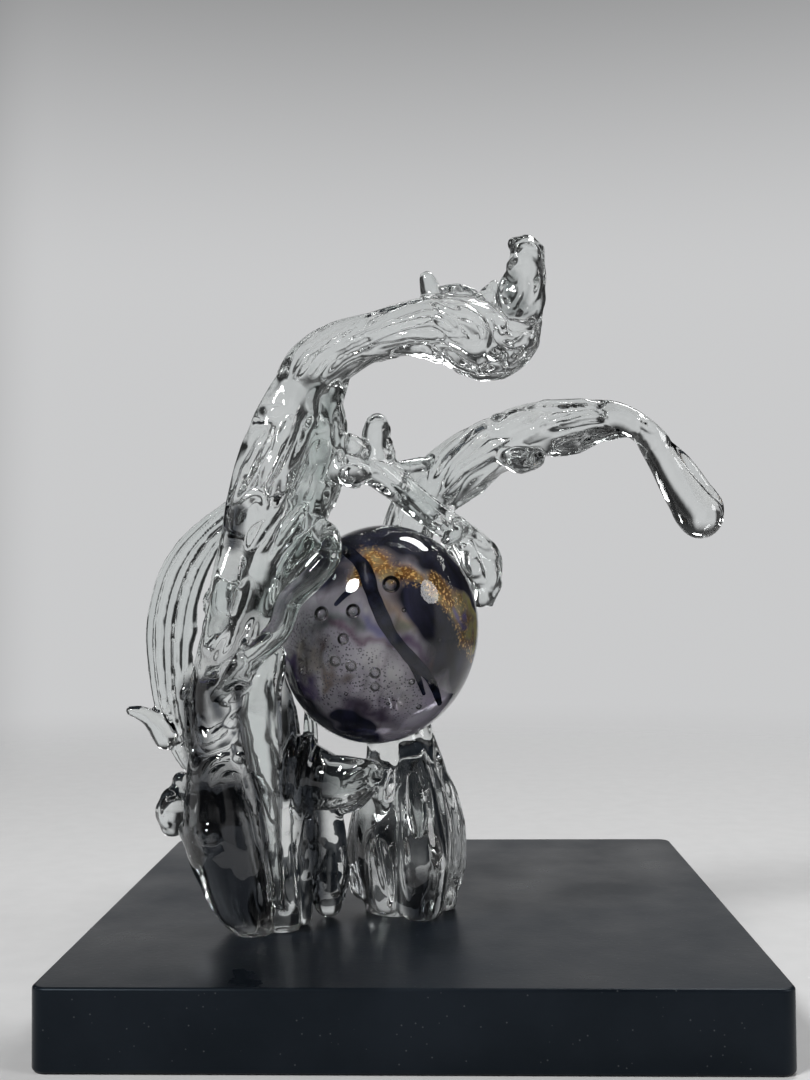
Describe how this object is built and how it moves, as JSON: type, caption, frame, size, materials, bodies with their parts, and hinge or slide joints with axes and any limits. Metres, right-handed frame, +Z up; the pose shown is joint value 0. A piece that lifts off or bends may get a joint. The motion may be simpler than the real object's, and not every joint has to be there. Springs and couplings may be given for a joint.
{
  "type": "glass wave sculpture",
  "caption": "Free-form clear glass sculpture: fluted, twisting waves clasp a smoky, gold-flecked glass ball above a square black display slab.",
  "frame": {"origin": "middle of the display slab's underside", "axes": "+Z up; +X to the right as seen from the front, towards the rear wave's drip; -Y towards the viewer"},
  "size_m": [0.305, 0.305, 0.359],
  "materials": {
    "clear_glass": "fire-polished clear art glass, with flutes and fine cords",
    "orb_clear_glass": "fire-polished clear glass gathered over a coloured core",
    "orb_smoky_glass": "smoky purple-grey glass with navy and amber-gold veils, specks and bubbles",
    "black_lacquer": "satin black lacquer"
  },
  "bodies": {
    "root": {"display_base": "black_lacquer", "front_column": "clear_glass", "front_trunk": "clear_glass", "twist_strand": "clear_glass", "crest_arch": "clear_glass", "crest_knot": "clear_glass", "crest_curl": "clear_glass", "horn_left": "clear_glass", "horn_right": "clear_glass", "inner_strand": "clear_glass", "front_heel": "clear_glass", "front_toe": "clear_glass", "lower_spur": "clear_glass", "heel_knob_large": "clear_glass", "heel_knob_small": "clear_glass", "heel_knob_low": "clear_glass", "side_fin": "clear_glass", "fin_prong": "clear_glass", "rear_foot": "clear_glass", "rear_column": "clear_glass", "arch_rise": "clear_glass", "arch_crown": "clear_glass", "arch_drip": "clear_glass", "arch_nodule": "clear_glass", "cross_arm": "clear_glass", "arm_root_knob": "clear_glass", "arm_thumb": "clear_glass", "arm_hand": "clear_glass", "bridge": "clear_glass", "orb_palm": "clear_glass", "orb_casing": "orb_clear_glass", "orb_core": "orb_smoky_glass"}
  },
  "joints": []
}
